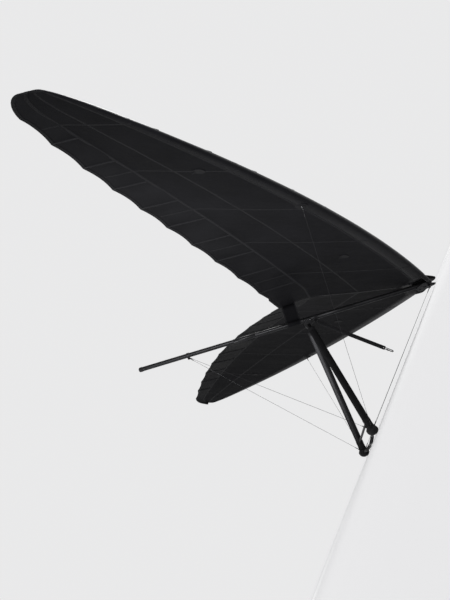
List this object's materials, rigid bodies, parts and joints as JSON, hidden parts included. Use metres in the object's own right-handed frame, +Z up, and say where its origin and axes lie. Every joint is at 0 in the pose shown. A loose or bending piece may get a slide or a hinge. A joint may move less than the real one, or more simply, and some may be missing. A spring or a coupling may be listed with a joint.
{
  "type": "hang glider",
  "caption": "Rigged flex-wing hang glider with swept sail, keel, wire-braced control frame and swinging hang strap, parked nose down.",
  "frame": {"origin": "on the floor under the middle of the parked glider's box", "axes": "+X forward to the nose, +Y to the port wing tip, +Z up from the floor; the keel is tipped 50.2 degrees nose down"},
  "size_m": [2.3068, 9.6, 2.8988],
  "materials": {
    "sailcloth": "black woven polyester sailcloth with a resin finish",
    "tube": "black anodised aluminium tube, satin",
    "fitting": "black anodised machined aluminium",
    "moulding": "black glass-filled nylon",
    "wire": "dark coated stainless steel rope",
    "webbing": "black woven polyester webbing",
    "steel": "black coated steel"
  },
  "bodies": {
    "airframe": {"sail_port": "sailcloth", "sail_starboard": "sailcloth", "keel_pocket": "sailcloth", "nose_cone": "sailcloth", "keel_tube": "tube", "leading_edge_tube_port": "tube", "leading_edge_tube_starboard": "tube", "upright_port": "tube", "upright_starboard": "tube", "base_bar": "tube", "brace_bar": "tube", "nose_plate_lower": "fitting", "nose_plate_upper": "fitting", "nose_catch": "fitting", "apex_bracket": "fitting", "upright_knuckle_port": "fitting", "upright_knuckle_starboard": "fitting", "side_junction_port": "fitting", "side_junction_starboard": "fitting", "rear_wire_clamp": "fitting", "keel_end_cap": "moulding", "corner_fitting_port": "moulding", "corner_fitting_starboard": "moulding", "front_wire_port": "wire", "front_wire_starboard": "wire", "side_wire_port": "wire", "side_wire_starboard": "wire", "rear_wire_port": "wire", "rear_wire_starboard": "wire"},
    "loop": {"hang_loop": "webbing"},
    "strap": {"hang_strap": "webbing"},
    "ring": {"carabiner": "steel"}
  },
  "joints": [
    {"name": "loop_roll", "type": "hinge", "parent": "airframe", "child": "loop", "pos_m": [0.20495, 0, 1.10638], "axis": [0.6397, 0, -0.7686], "range_deg": [-60, 60]},
    {"name": "strap_swing", "type": "hinge", "parent": "loop", "child": "strap", "pos_m": [0.15883, 0, 1.068], "axis": [0, 1, 0], "range_deg": [-30, 40]},
    {"name": "ring_swing", "type": "hinge", "parent": "strap", "child": "ring", "pos_m": [0.15883, 0, 0.2662], "axis": [0, 1, 0], "range_deg": [-45, 45]}
  ]
}
